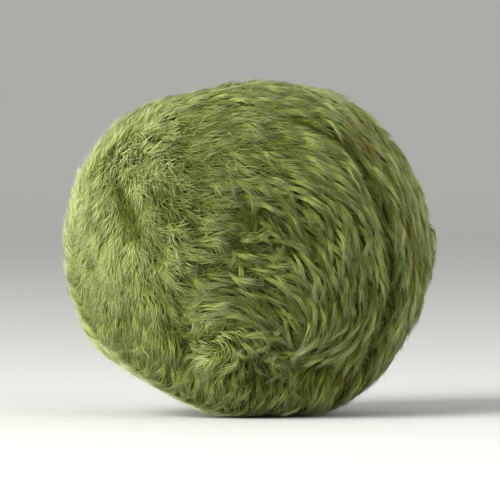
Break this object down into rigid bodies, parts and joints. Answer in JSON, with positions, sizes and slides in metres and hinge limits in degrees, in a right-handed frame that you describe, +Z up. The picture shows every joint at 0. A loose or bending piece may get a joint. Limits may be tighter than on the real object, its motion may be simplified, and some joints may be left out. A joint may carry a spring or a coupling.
{
  "type": "artificial moss ball",
  "caption": "Round plush moss ball for an aquarium or terrarium: a soft combed green cover over a hollow plastic lattice ball.",
  "frame": {"origin": "on the surface that the ball rests on, under the middle of its outline", "axes": "+X to the right of the combed face, along the ball's longest extent; -Y the way the combed face looks; +Z up, along its shortest extent"},
  "size_m": [0.0456, 0.0446, 0.041],
  "materials": {
    "moss_plush": "short combed plush pile, matt olive green, lighter at the tips",
    "core_plastic": "moulded dark grey plastic, satin"
  },
  "bodies": {
    "root": {"moss_cover": "moss_plush", "lattice_core": "core_plastic"}
  },
  "joints": []
}
